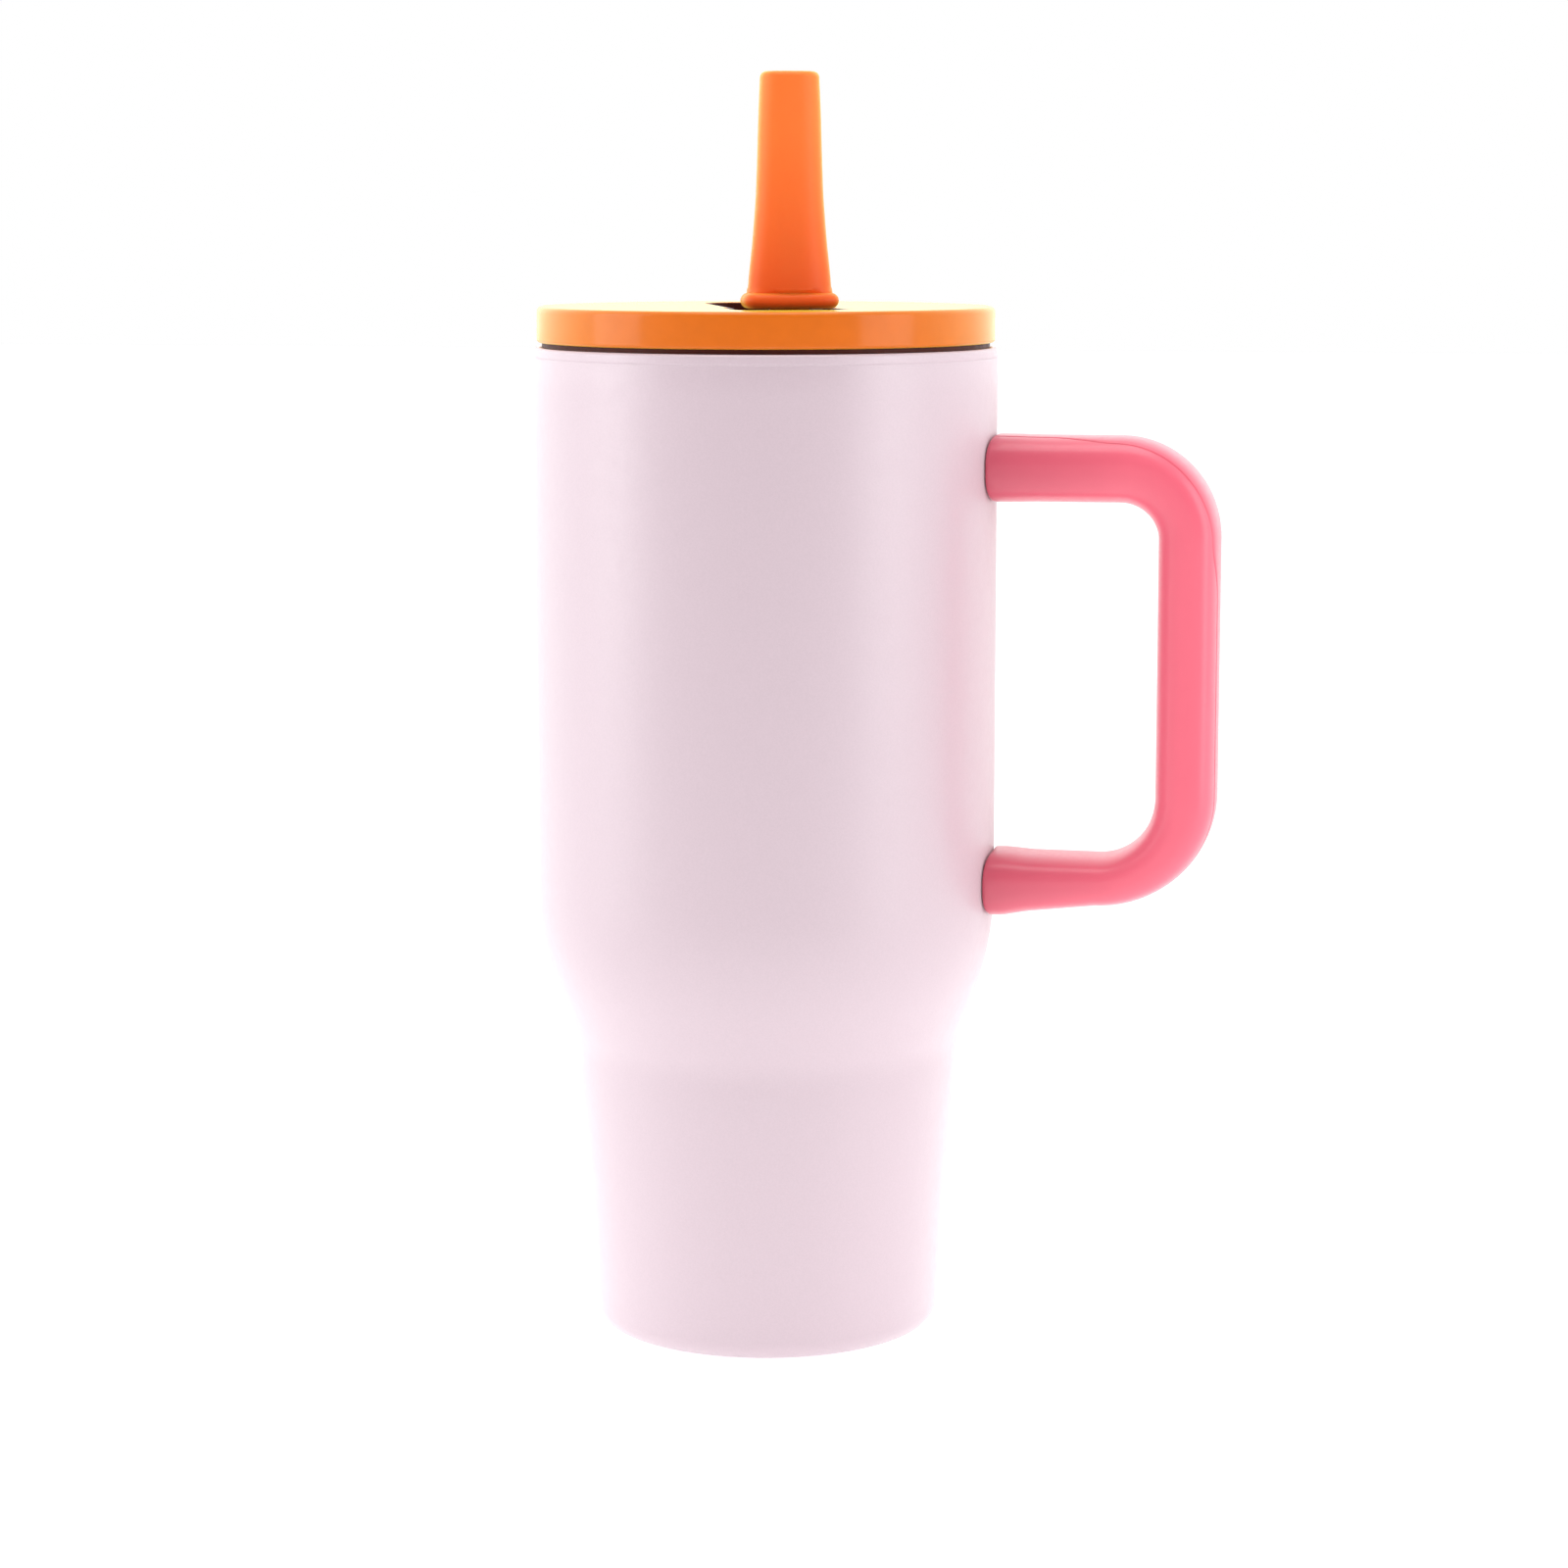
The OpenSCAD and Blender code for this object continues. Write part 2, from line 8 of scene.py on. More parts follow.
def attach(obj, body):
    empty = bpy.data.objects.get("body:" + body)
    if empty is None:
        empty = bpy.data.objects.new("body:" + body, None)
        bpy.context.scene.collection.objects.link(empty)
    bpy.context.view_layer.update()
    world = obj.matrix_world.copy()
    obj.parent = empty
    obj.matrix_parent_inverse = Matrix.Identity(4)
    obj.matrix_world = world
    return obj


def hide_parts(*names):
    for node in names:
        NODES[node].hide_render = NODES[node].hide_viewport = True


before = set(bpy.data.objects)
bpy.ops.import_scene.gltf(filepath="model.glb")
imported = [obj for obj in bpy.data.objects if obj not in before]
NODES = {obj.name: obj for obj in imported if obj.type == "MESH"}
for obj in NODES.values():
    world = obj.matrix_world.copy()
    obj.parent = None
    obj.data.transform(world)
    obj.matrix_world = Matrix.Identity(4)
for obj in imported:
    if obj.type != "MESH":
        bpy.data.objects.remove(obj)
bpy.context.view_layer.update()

# ------------------------------------------------------------------ sizes, mm, as the frame has them
MM = 0.001
CUP_R, CUP_H = 50.0, 215.4
FOOT_R, KNEE_Z, KNEE_R, SHOULDER_Z = 37.43, 63.8, 41.9, 86.25
SHOULDER_ROUND, FOOT_ROUND = 64.0, 4.5
SHELL_T, LINER_T, GAP, FLOOR_Z = 0.6, 0.5, 2.6, 7.4
CORE_OFF = SHELL_T + GAP
WALL_OFF = CORE_OFF + LINER_T
MOUTH_R = CUP_R - WALL_OFF
GRIP_X, GRIP_T, GRIP_W = 92.0, 6.5, 10.8
ARM_TOP_Z, ARM_TOP_T, ARM_LOW_Z, ARM_LOW_T = 189.9, 7.05, 101.1, 5.3
CORNER_TOP, CORNER_LOW, SKIN = 14.8, 18.9, 2.2
LID_R, LID_TOP, BAND_Z, PLUG_R = 49.4, 224.1, 216.4, 45.6
LID_ANGLE = math.radians(20.6)
SPOUT_Y, PIVOT_Z, TIP_Z = 27.5, 218.0, 273.0
TIP_W, TIP_D, CHANNEL_R, BARREL_R = 6.15, 5.0, 3.3, 5.6
SLOT_FLOOR = 209.5
STRAW_R, STRAW_T, STRAW_Z = 4.5, 0.8, 12.0

LID_TURN = Matrix.Rotation(LID_ANGLE, 4, "Z")


# ------------------------------------------------------------------ outlines
def v2(p):
    return Vector((p[0], p[1]))


def corner_shift(a, b, c, t):
    d1, d2 = (v2(b) - v2(a)).normalized(), (v2(c) - v2(b)).normalized()
    n1, n2 = Vector((-d1.y, d1.x)), Vector((-d2.y, d2.x))
    p = v2(b) + t * (n1 + n2) / (1 + n1.dot(n2))
    s = -1 if d1.x * d2.y - d1.y * d2.x > 0 else 1
    return (p.x, p.y, 0 if b[2] == 0 else max(0.05, b[2] + s * t))


def corner_round(a, b, c, k):
    if b[2] == 0:
        return [(b[0], b[1])]
    d1, d2 = (v2(b) - v2(a)).normalized(), (v2(c) - v2(b)).normalized()
    turn = math.atan2(d1.x * d2.y - d1.y * d2.x, d1.dot(d2))
    t = b[2] * math.tan(abs(turn) / 2)
    s = 1 if turn > 0 else -1
    p0 = v2(b) - d1 * t
    m = p0 + s * b[2] * Vector((-d1.y, d1.x))
    a0 = math.atan2(p0.y - m.y, p0.x - m.x)
    return [(m.x + b[2] * math.cos(a0 + turn * i / k), m.y + b[2] * math.sin(a0 + turn * i / k)) for i in range(k + 1)]


def run_shift(v, t):
    n = len(v)
    da, db = (v2(v[1]) - v2(v[0])).normalized(), (v2(v[-1]) - v2(v[-2])).normalized()
    return ([(v[0][0] - da.y * t, v[0][1] + da.x * t, 0)]
            + [corner_shift(v[i - 1], v[i], v[i + 1], t) for i in range(1, n - 1)]
            + [(v[-1][0] - db.y * t, v[-1][1] + db.x * t, 0)])


def run_round(v, k=14):
    out = [(v[0][0], v[0][1])]
    for i in range(1, len(v) - 1):
        out += corner_round(v[i - 1], v[i], v[i + 1], k)
    return out + [(v[-1][0], v[-1][1])]


def ring_outline(v, o, k=10):
    n = len(v)
    w = [corner_shift(v[i - 1], v[i], v[(i + 1) % n], -o) for i in range(n)]
    out = []
    for i in range(n):
        out += corner_round(w[i - 1], w[i], w[(i + 1) % n], k)
    return out


def dense(points, step):
    """More points along the straight stretches of an open run, so that long faces shade evenly."""
    out = [points[0]]
    for a, b in zip(points, points[1:]):
        n = max(1, int(math.hypot(b[0] - a[0], b[1] - a[1]) / step))
        out += [(a[0] + (b[0] - a[0]) * i / n, a[1] + (b[1] - a[1]) * i / n) for i in range(1, n + 1)]
    return out


def ease(t):
    return t * t * (3 - 2 * t)


def mix(a, b, t):
    return a + (b - a) * t


def pw(v, p):
    return -((-v) ** p) if v < 0 else v ** p


# ------------------------------------------------------------------ mesh helpers
def mesh_object(name, verts, faces, mat, sharp=32.0, turned=False):
    me = bpy.data.meshes.new(name)
    me.from_pydata([tuple(c * MM for c in p) for p in verts], [], faces)
    me.validate()
    if turned:
        me.transform(LID_TURN)
    ob = bpy.data.objects.new(name, me)
    bpy.context.scene.collection.objects.link(ob)
    finish_mesh(ob, sharp)
    if mat is not None:
        me.materials.append(mat)
    return ob


def finish_mesh(ob, sharp=32.0, clean=True):
    bm = bmesh.new()
    bm.from_mesh(ob.data)
    if clean:
        bmesh.ops.remove_doubles(bm, verts=bm.verts, dist=2e-7)
        bmesh.ops.dissolve_degenerate(bm, edges=bm.edges, dist=1e-7)
    bmesh.ops.recalc_face_normals(bm, faces=bm.faces)
    for f in bm.faces:
        f.smooth = True
    lim = math.radians(sharp)
    for e in bm.edges:
        e.smooth = len(e.link_faces) != 2 or e.calc_face_angle(0.0) < lim
    bm.to_mesh(ob.data)
    bm.free()


def lathe(name, prof, mat, seg=160, sharp=32.0, at=(0.0, 0.0), turned=False):
    """A closed profile of (r, z) turned about Z. Points on the axis become one pole."""
    verts, idx = [], []
    for r, z in prof:
        if r < 1e-4:
            idx.append([len(verts)] * seg)
            verts.append((at[0], at[1], z))
        else:
            b = len(verts)
            idx.append([b + i for i in range(seg)])
            verts += [(at[0] + r * math.cos(2 * math.pi * i / seg), at[1] + r * math.sin(2 * math.pi * i / seg), z) for i in range(seg)]
    faces = []
    n = len(prof)
    for a in range(n):
        b = (a + 1) % n
        if prof[a][0] < 1e-4 and prof[b][0] < 1e-4:
            continue
        for i in range(seg):
            j = (i + 1) % seg
            f = []
            for q in (idx[a][i], idx[a][j], idx[b][j], idx[b][i]):
                if q not in f:
                    f.append(q)
            if len(f) > 2:
                faces.append(f)
    return mesh_object(name, verts, faces, mat, sharp, turned)


def loft(name, rings, mat, sharp=40.0, turned=False, loop=False):
    """Closed rings of equal length joined in order; loop joins the last ring to the first, else both ends are capped."""
    n = len(rings[0])
    verts = [p for r in rings for p in r]
    faces = []
    m = len(rings)
    for i in range(m if loop else m - 1):
        k = (i + 1) % m
        for j in range(n):
            l = (j + 1) % n
            faces.append([i * n + j, i * n + l, k * n + l, k * n + j])
    if not loop:
        faces.append(list(range(n))[::-1])
        faces.append([(m - 1) * n + j for j in range(n)])
    return mesh_object(name, verts, faces, mat, sharp, turned)


def boolean(ob, cutters, op="DIFFERENCE", sharp=32.0, weighted=True):
    for c in cutters:
        md = ob.modifiers.new("cut", "BOOLEAN")
        md.operation = op
        md.solver = "EXACT"
        md.object = c
        dg = bpy.context.evaluated_depsgraph_get()
        me = bpy.data.meshes.new_from_object(ob.evaluated_get(dg))
        ob.modifiers.clear()
        old = ob.data
        ob.data = me
        bpy.data.meshes.remove(old)
    for c in cutters:
        me = c.data
        bpy.data.objects.remove(c)
        bpy.data.meshes.remove(me)
    ob.data.name = ob.name
    finish_mesh(ob, sharp)
    if weighted:
        md = ob.modifiers.new("normals", "WEIGHTED_NORMAL")
        md.keep_sharp = True
        md.weight = 80
    return ob


def prism(name, outline, z0, z1, turned=False):
    return loft(name, [[(x, y, z0) for x, y in outline], [(x, y, z1) for x, y in outline]], None, turned=turned)


def tube_x(name, r, x0, x1, y, z, seg=64, mat=None, turned=False, chamfer=0.0):
    if chamfer:
        st = [(x0, r - chamfer), (x0 + 0.3 * chamfer, r - 0.3 * chamfer), (x0 + chamfer, r), (x1 - chamfer, r), (x1 - 0.3 * chamfer, r - 0.3 * chamfer), (x1, r - chamfer)]
    else:
        st = [(x0, r), (x1, r)]
    rings = [[(x, y + q * math.cos(2 * math.pi * i / seg), z + q * math.sin(2 * math.pi * i / seg)) for i in range(seg)] for x, q in st]
    return loft(name, rings, mat, turned=turned)


def tube_z(name, r, x, y, z0, z1, seg=64, mat=None, turned=False):
    rings = [[(x + r * math.cos(2 * math.pi * i / seg), y + r * math.sin(2 * math.pi * i / seg), z) for i in range(seg)] for z in (z0, z1)]
    return loft(name, rings, mat, turned=turned)


# ------------------------------------------------------------------ materials
def srgb(r, g, b):
    return tuple((c / 255 / 12.92) if c / 255 <= 0.04045 else ((c / 255 + 0.055) / 1.055) ** 2.4 for c in (r, g, b)) + (1.0,)


class Mat:
    """A Principled material in object coordinates, in metres, with its detail built up from noise."""

    def __init__(self, name, color, rough, metal=0.0, ior=1.5):
        self.m = bpy.data.materials.new(name)
        self.m.use_nodes = True
        self.t = self.m.node_tree
        self.s = self.t.nodes["Principled BSDF"]
        self.s.inputs["Base Color"].default_value = color
        self.s.inputs["Roughness"].default_value = rough
        self.s.inputs["Metallic"].default_value = metal
        self.s.inputs["IOR"].default_value = ior
        self.color, self.rough = color, rough
        self.co = self.node("ShaderNodeTexCoord").outputs["Object"]
        self.bump = None

    def node(self, kind):
        return self.t.nodes.new(kind)

    def link(self, a, b):
        self.t.links.new(a, b)

    def set(self, **kw):
        for k, v in kw.items():
            self.s.inputs[k.replace("_", " ")].default_value = v
        return self

    def noise(self, scale, detail=2.0, stretch=(1, 1, 1), rough=0.5, turn=0.0):
        n = self.node("ShaderNodeTexNoise")
        n.inputs["Scale"].default_value = scale
        n.inputs["Detail"].default_value = detail
        n.inputs["Roughness"].default_value = rough
        src = self.co
        if stretch != (1, 1, 1) or turn:
            mp = self.node("ShaderNodeMapping")
            mp.inputs["Scale"].default_value = stretch
            mp.inputs["Rotation"].default_value = (0, 0, turn)
            self.link(src, mp.inputs["Vector"])
            src = mp.outputs["Vector"]
        self.link(src, n.inputs["Vector"])
        return n.outputs["Fac"]

    def rings(self, freq, wobble=0.0):
        """Fine lathe lines: a value that changes with the distance from the axis."""
        sep = self.node("ShaderNodeSeparateXYZ")
        self.link(self.co, sep.inputs[0])
        x2, y2, add, sq = (self.node("ShaderNodeMath") for _ in range(4))
        for m, s in ((x2, "X"), (y2, "Y")):
            m.operation = "MULTIPLY"
            self.link(sep.outputs[s], m.inputs[0])
            self.link(sep.outputs[s], m.inputs[1])
        add.operation = "ADD"
        self.link(x2.outputs[0], add.inputs[0])
        self.link(y2.outputs[0], add.inputs[1])
        sq.operation = "SQRT"
        self.link(add.outputs[0], sq.inputs[0])
        comb = self.node("ShaderNodeCombineXYZ")
        self.link(sq.outputs[0], comb.inputs[0])
        n = self.node("ShaderNodeTexNoise")
        n.inputs["Scale"].default_value = freq
        n.inputs["Detail"].default_value = 3.0
        self.link(comb.outputs[0], n.inputs["Vector"])
        return n.outputs["Fac"]

    def span(self, fac, lo, hi, a=0.35, b=0.65):
        """Maps a noise value to lo..hi."""
        r = self.node("ShaderNodeMapRange")
        r.inputs["From Min"].default_value = a
        r.inputs["From Max"].default_value = b
        r.inputs["To Min"].default_value = lo
        r.inputs["To Max"].default_value = hi
        self.link(fac, r.inputs["Value"])
        return r.outputs["Result"]

    def tint(self, fac, c0, c1, a=0.35, b=0.65):
        r = self.node("ShaderNodeValToRGB")
        r.color_ramp.elements[0].position, r.color_ramp.elements[1].position = a, b
        r.color_ramp.elements[0].color, r.color_ramp.elements[1].color = c0, c1
        self.link(fac, r.inputs["Fac"])
        return r.outputs["Color"]

    def vary_color(self, fac, amount=0.04, a=0.35, b=0.65, warm=0.0):
        lo = tuple(max(0.0, c * (1 - amount)) for c in self.color[:3]) + (1.0,)
        hi = tuple(min(1.0, c * (1 + amount * (1 + warm * (0.5 - i)))) for i, c in enumerate(self.color[:3])) + (1.0,)
        self.link(self.tint(fac, lo, hi, a, b), self.s.inputs["Base Color"])
        return self

    def vary_rough(self, fac, amount=0.05, a=0.35, b=0.65):
        self.link(self.span(fac, self.rough - amount, self.rough + amount, a, b), self.s.inputs["Roughness"])
        return self

    def add_bump(self, fac, height_um, strength=1.0):
        b = self.node("ShaderNodeBump")
        b.inputs["Strength"].default_value = strength
        b.inputs["Distance"].default_value = height_um * 1e-6
        self.link(fac, b.inputs["Height"])
        if self.bump is not None:
            self.link(self.bump, b.inputs["Normal"])
        self.bump = b.outputs["Normal"]
        self.link(self.bump, self.s.inputs["Normal"])
        return self


def powder_coat():
    m = Mat("powder_coat", (0.590, 0.462, 0.518, 1.0), 0.36)
    fine, peel = m.noise(2600, 3), m.noise(420, 2)
    m.vary_color(fine, 0.022).vary_rough(peel, 0.04)
    m.add_bump(peel, 26).add_bump(fine, 16)
    m.set(Specular_IOR_Level=1.0, Sheen_Weight=0.42, Sheen_Roughness=0.5)
    return m.m


def cap_plastic():
    m = Mat("cap_plastic", (0.68, 0.128, 0.002, 1.0), 0.24)
    m.vary_color(m.noise(180, 3), 0.03).vary_rough(m.noise(500, 3), 0.03)
    m.set(Specular_IOR_Level=0.12, Coat_Weight=1.0, Coat_Roughness=0.13, Coat_IOR=1.28, Sheen_Weight=0.72, Sheen_Roughness=0.5, Sheen_Tint=(1.0, 0.80, 0.08, 1.0))
    return m.m


def mouth_silicone():
    m = Mat("mouth_silicone", (0.93, 0.150, 0.020, 1.0), 0.36)
    m.vary_rough(m.noise(900, 3), 0.05)
    # painted shade: the base colour runs from a darker red at the spout's foot (z 222 mm) up to full orange at z 262
    # mm; mott carries this height with a little noise mixed in
    sep = m.node("ShaderNodeSeparateXYZ")
    m.link(m.co, sep.inputs[0])
    mott = m.node("ShaderNodeMath")
    mott.operation = "MULTIPLY_ADD"
    m.link(m.noise(260, 3), mott.inputs[0])
    mott.inputs[1].default_value = 0.003
    m.link(sep.outputs["Z"], mott.inputs[2])
    m.link(m.tint(m.span(mott.outputs[0], 0.0, 1.0, 0.222, 0.262), (0.80, 0.085, 0.010, 1.0), (0.93, 0.165, 0.028, 1.0), 0.0, 1.0), m.s.inputs["Base Color"])
    m.add_bump(m.noise(150, 2), 16).add_bump(m.noise(2600, 2), 5.0)
    m.set(Subsurface_Weight=0.22, Subsurface_Radius=(0.006, 0.002, 0.0008), Subsurface_Scale=0.6, Specular_IOR_Level=0.2, Sheen_Weight=0.8, Sheen_Roughness=0.5, Sheen_Tint=(0.9, 0.95, 0.15, 1.0))
    return m.m


def grip_soft(name="grip_soft", root_shade=0.73):
    """Soft-touch skin. Its colour is a little deeper in towards the cup: painted shade where the arms meet the cup
    wall.
    """
    m = Mat(name, (0.84, 0.125, 0.190, 1.0), 0.32)
    m.vary_rough(m.noise(800, 3), 0.03)
    sep = m.node("ShaderNodeSeparateXYZ")
    m.link(m.co, sep.inputs[0])
    # painted shade: the base colour darkens by the factor root_shade from x 80 mm in to x 50 mm at the cup
    deep = m.span(sep.outputs["X"], root_shade, 1.0, 0.050, 0.080)
    mott = m.span(m.noise(260, 3), 0.995, 1.005)
    both = m.node("ShaderNodeMath")
    both.operation = "MULTIPLY"
    m.link(deep, both.inputs[0])
    m.link(mott, both.inputs[1])
    m.link(m.tint(both.outputs[0], (m.color[0] * 0.62, m.color[1] * 0.55, m.color[2] * 0.60, 1.0), (m.color[0] * 1.04, m.color[1] * 1.05, m.color[2] * 1.05, 1.0), 0.6, 1.05), m.s.inputs["Base Color"])
    m.add_bump(m.noise(110, 2), 9).add_bump(m.noise(3000, 2), 2.4)
    m.set(Specular_IOR_Level=0.66, Sheen_Weight=0.12, Sheen_Roughness=0.4)
    return m.m


def dark_plastic():
    m = Mat("lid_dark", srgb(72, 25, 16), 0.46)
    m.vary_color(m.noise(500, 3), 0.12).vary_rough(m.noise(900, 3), 0.06)
    m.add_bump(m.noise(2400, 3), 9.0).add_bump(m.noise(200, 2), 10.0)
    m.set(Specular_IOR_Level=0.15)
    return m.m


def gasket():
    m = Mat("gasket_silicone", srgb(38, 22, 23), 0.52)
    m.vary_color(m.noise(800, 3), 0.15).vary_rough(m.noise(600, 3), 0.06)
    m.add_bump(m.noise(1800, 3), 8.0)
    return m.m


def white_silicone():
    m = Mat("seal_silicone", srgb(226, 226, 224), 0.42)
    m.vary_color(m.noise(300, 3), 0.03).vary_rough(m.noise(600, 3), 0.06)
    m.add_bump(m.noise(1500, 3), 7.0)
    m.set(Subsurface_Weight=0.3, Subsurface_Radius=(0.003, 0.003, 0.003), Subsurface_Scale=0.5)
    return m.m


def steel(name, stretch=None, freq=None, rough=0.26, col=(196, 195, 194)):
    m = Mat(name, srgb(*col), rough, metal=1.0)
    line = m.rings(freq) if freq else m.noise(1.0, 4, stretch, 0.6)
    m.vary_color(line, 0.05).vary_rough(line, 0.07)
    m.add_bump(line, 4.0).add_bump(m.noise(90, 2), 6.0)
    m.set(Anisotropic=0.35)
    return m.m


def foil():
    m = Mat("foil_copper", srgb(214, 150, 118), 0.24, metal=1.0)
    m.vary_color(m.noise(60, 3), 0.08).vary_rough(m.noise(300, 3), 0.07)
    m.add_bump(m.noise(160, 5, (1, 1, 1), 0.65), 120.0)
    return m.m


def sintered():
    m = Mat("getter_metal", srgb(120, 121, 124), 0.62, metal=0.8)
    m.vary_color(m.noise(1800, 4), 0.2).vary_rough(m.noise(900, 3), 0.1)
    m.add_bump(m.noise(2200, 4), 45.0)
    return m.m


def sealing_glass():
    m = Mat("sealing_glass", srgb(92, 96, 98), 0.12)
    m.vary_color(m.noise(900, 3), 0.12).vary_rough(m.noise(700, 2), 0.04)
    m.add_bump(m.noise(500, 2), 30.0)
    return m.m


def core_plastic():
    m = Mat("core_plastic", srgb(214, 92, 112), 0.5)
    m.vary_color(m.noise(300, 3), 0.04).vary_rough(m.noise(700, 3), 0.05)
    m.add_bump(m.noise(1600, 3), 10.0)
    return m.m


def straw_plastic():
    m = Mat("straw_plastic", srgb(240, 243, 246), 0.16, ior=1.46)
    m.vary_color(m.noise(60, 2), 0.015).vary_rough(m.noise(400, 3, (1, 1, 0.05)), 0.05)
    m.add_bump(m.noise(300, 3, (1, 1, 0.04)), 10.0)
    m.set(Transmission_Weight=0.82)
    return m.m


def barrel_plastic():
    m = Mat("barrel_plastic", (0.74, 0.115, 0.006, 1.0), 0.32)
    m.vary_color(m.noise(240, 3), 0.03).vary_rough(m.noise(900, 3), 0.04)
    m.add_bump(m.noise(1800, 2), 5.0)
    m.set(Specular_IOR_Level=0.2)
    return m.m


M = {
    "coat": powder_coat(), "cap": cap_plastic(), "mouth": mouth_silicone(), "grip": grip_soft(),
    # the screw plugs take the same skin, with a slighter painted shade towards the cup (0.95)
    "plug": grip_soft("plug_soft", 0.95), "dark": dark_plastic(), "gasket": gasket(), "white": white_silicone(),
    "liner": steel("liner_steel", (30, 30, 5200), rough=0.36, col=(236, 235, 233)), "base": steel("base_steel", freq=2600, rough=0.37),
    "bracket": steel("bracket_steel", (400, 400, 3000), rough=0.36), "pin": steel("pin_steel", (3000, 3000, 60), rough=0.14),
    "foil": foil(), "getter": sintered(), "glass": sealing_glass(), "core": core_plastic(), "straw": straw_plastic(),
    "barrel": barrel_plastic(),
}


def dress(node, mat):
    ob = NODES[node]
    for s in ob.material_slots:
        s.material = mat
    if not ob.material_slots:
        ob.data.materials.append(mat)


for node, key in (("reflective_foil", "foil"), ("getter", "getter"), ("vacuum_seal", "glass"), ("upper_bracket", "bracket"),
                  ("lower_bracket", "bracket"), ("handle_core", "core"), ("handle_screws", "pin"), ("screw_plugs", "plug"),
                  ("hinge_pins", "pin"), ("spout_seal", "white"), ("vent_valve", "white"), ("straw_adapter", "white"),
                  ("outer_shell", "coat"), ("inner_liner", "liner"), ("base_plate", "base"), ("handle_grip", "grip"),
                  ("lid_gasket", "gasket"), ("lid_cap", "cap"), ("lid_core", "dark"), ("straw", "straw"),
                  ("spout_barrel", "barrel"), ("mouthpiece", "mouth")):
    dress(node, M[key])

# ------------------------------------------------------------------ cup
WALL = [(30, 0, 0), (FOOT_R, 0, FOOT_ROUND), (KNEE_R, KNEE_Z, 20), (CUP_R, SHOULDER_Z, SHOULDER_ROUND), (CUP_R, CUP_H - 0.8, 0)]
WALL_UP = [(FOOT_R, 0, 0), (KNEE_R, KNEE_Z, 20), (CUP_R, SHOULDER_Z, SHOULDER_ROUND), (CUP_R, CUP_H, 0)]
SLOPE = (KNEE_R - FOOT_R) / KNEE_Z


def wall_r(z, off):
    return FOOT_R + SLOPE * z - off * math.sqrt(1 + SLOPE * SLOPE)


def make_shell():
    outer = dense(run_round(WALL[:-1] + [(CUP_R, CUP_H - 2.35, 0)], 22), 6.0)
    # a fine step 2.2 mm under the edge, where the rolled lip begins
    lip = [(CUP_R - 0.03, CUP_H - 2.27), (CUP_R - 0.09, CUP_H - 2.2), (CUP_R - 0.09, CUP_H - 2.1), (CUP_R - 0.05, CUP_H - 2.0), (CUP_R - 0.05, CUP_H - 1.7), (CUP_R - 0.1, CUP_H - 1.2)]
    lip += [(CUP_R - 0.9 + 0.8 * math.cos(a), CUP_H - 0.8 + 0.8 * math.sin(a)) for a in (math.radians(d) for d in (0, 12, 25, 38, 52, 66, 76))]
    inner = dense(run_round(run_shift(WALL, SHELL_T), 14), 12.0)[::-1]
    prof = outer + lip + [(CUP_R - SHELL_T, CUP_H - 0.02)] + inner + [(30.0, 2.6), (29.8, 2.75), (29.55, 2.7), (29.4, 2.5), (29.4, 0.25), (29.5, 0.07), (29.7, 0.0)]
    return lathe("outer_shell_coated", prof, M["coat"], seg=192)


def make_liner():
    low_in, low_out = wall_r(FLOOR_Z, WALL_OFF), wall_r(FLOOR_Z - LINER_T, CORE_OFF)
    si, so = run_shift(WALL_UP, WALL_OFF), run_shift(WALL_UP, CORE_OFF)
    inner = run_round([(0, FLOOR_Z, 0), (low_in, FLOOR_Z, 5)] + si[1:3] + [(MOUTH_R, CUP_H - 0.7, 0)], 16)
    outer = run_round([(0, FLOOR_Z - LINER_T, 0), (low_out, FLOOR_Z - LINER_T, 5.5)] + so[1:3] + [(CUP_R - CORE_OFF, CUP_H - 1.2, 0)], 14)
    flange = [(CUP_R - SHELL_T - 0.02, CUP_H - 1.2), (CUP_R - SHELL_T - 0.02, CUP_H - 0.04), (CUP_R - SHELL_T - 0.12, CUP_H)]
    lip = [(MOUTH_R + 0.7 - 0.7 * math.sin(a), CUP_H - 0.7 + 0.7 * math.cos(a)) for a in (math.radians(d) for d in (0, 15, 30, 45, 60, 75))]
    return lathe("inner_liner_steel", dense(outer, 8.0) + flange + lip + dense(inner, 8.0)[::-1], M["liner"], seg=192)


def make_base():
    top = [(0.9, 3.6), (4.75, 3.6), (5.1, 3.45), (6.5, 2.5), (6.9, 2.4), (29.36, 2.4)]
    low = [(29.36, 1.95), (29.2, 1.8), (24, 1.8), (18, 1.8), (12, 1.8), (6.75, 1.8), (6.4, 1.87), (6.05, 2.02), (4.95, 2.84), (4.6, 2.96), (4.2, 3.0), (1.05, 3.0), (0.9, 3.1)]
    return lathe("base_plate_steel", top + low, M["base"], seg=144)


shell = make_shell()
liner = make_liner()
base = make_base()

# ------------------------------------------------------------------ handle
ROOT_X = 52.5


